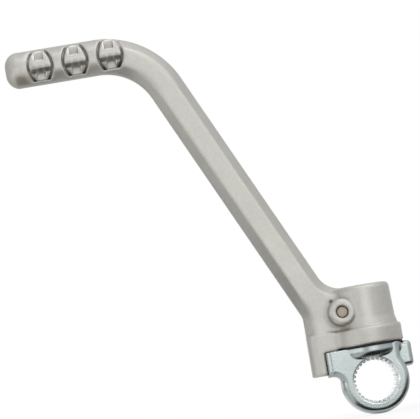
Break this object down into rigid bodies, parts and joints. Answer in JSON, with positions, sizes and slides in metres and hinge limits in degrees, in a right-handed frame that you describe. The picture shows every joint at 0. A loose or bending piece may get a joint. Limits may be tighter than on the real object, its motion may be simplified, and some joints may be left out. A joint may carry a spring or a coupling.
{
  "type": "kick start lever",
  "caption": "Folding kick start lever: bent aluminium arm with a cleated foot peg, swivelling on the stud of a splined steel hub.",
  "frame": {"origin": "centre of the splined bore, on the kick shaft's axis", "axes": "Y along the kick shaft, -Y towards the engine; +Z along the fold axis from the bore to the boss; +X away from the folded peg"},
  "size_m": [0.1777, 0.038, 0.2091],
  "materials": {
    "arm_aluminium": "blasted satin, forged",
    "plated_steel": "bright zinc plated",
    "pin_steel": "ground, slightly oxidised",
    "seal_rubber": "matt black",
    "ball_steel": "polished",
    "spring_steel": "bright drawn wire"
  },
  "bodies": {
    "hub": {"hub": "plated_steel", "dust_seal": "seal_rubber", "detent_ball": "ball_steel", "detent_spring": "spring_steel"},
    "arm": {"kick_arm": "arm_aluminium", "retaining_pin": "pin_steel"}
  },
  "joints": [
    {"name": "arm_fold", "type": "hinge", "parent": "hub", "child": "arm", "pos_m": [0, 0, 0.03], "axis": [0, 0, -1], "range_deg": [0, 95]}
  ]
}
